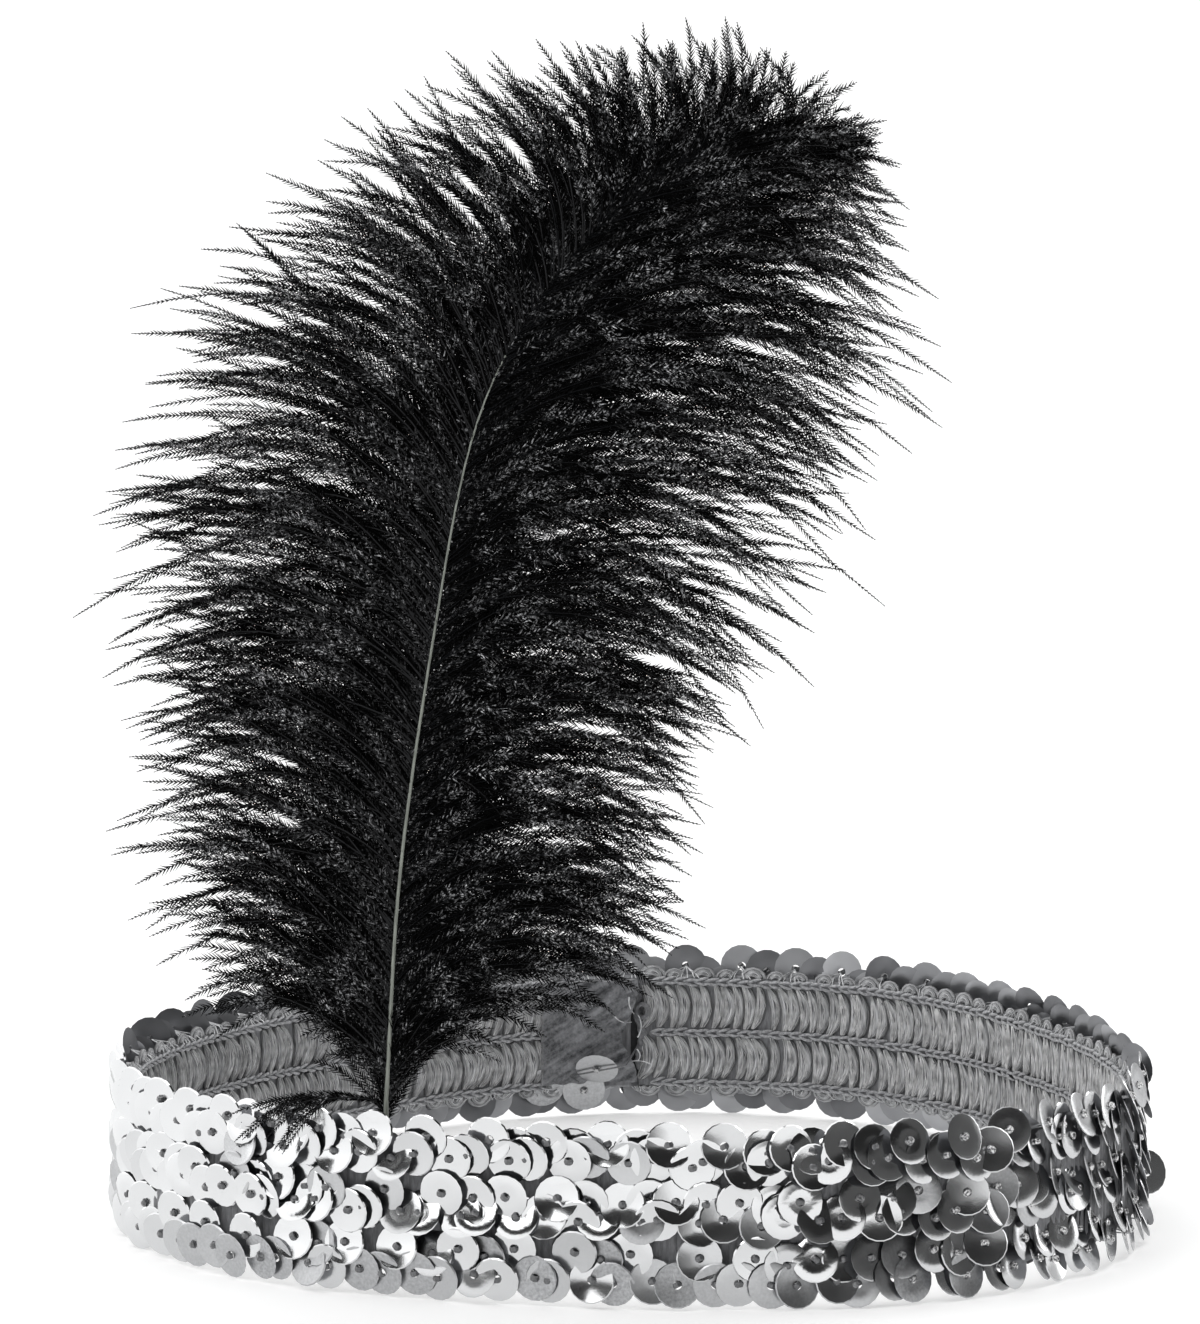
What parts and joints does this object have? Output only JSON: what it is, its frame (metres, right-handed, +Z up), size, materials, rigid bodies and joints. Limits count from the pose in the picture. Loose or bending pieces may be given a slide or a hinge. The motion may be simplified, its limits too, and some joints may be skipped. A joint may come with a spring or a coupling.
{
  "type": "flapper feather headband",
  "caption": "Stretch headband loop of overlapping silver sequins on grey knitted elastic, with a curled black ostrich plume standing inside its front left.",
  "frame": {"origin": "centre of the band's footprint, at the lower edge of its sequins", "axes": "+Z up along the plume, -Y to the front of the band, +X to the right seen from the front; the seam is at the back and the plume at the front left"},
  "size_m": [0.1438, 0.143, 0.1652],
  "materials": {
    "sequins": "mirror-bright silver-coated film discs, slightly grainy",
    "knitted_elastic": "grey chain-stitched multifilament yarn, matt",
    "felt_patch": "grey felt, matt",
    "feather": "dyed black ostrich barbs with a pale grey-green shaft"
  },
  "bodies": {
    "root": {"sequin_face": "sequins", "elastic_backing": "knitted_elastic", "seam_tab": "knitted_elastic", "quill_patch": "felt_patch", "ostrich_plume": "feather"}
  },
  "joints": []
}
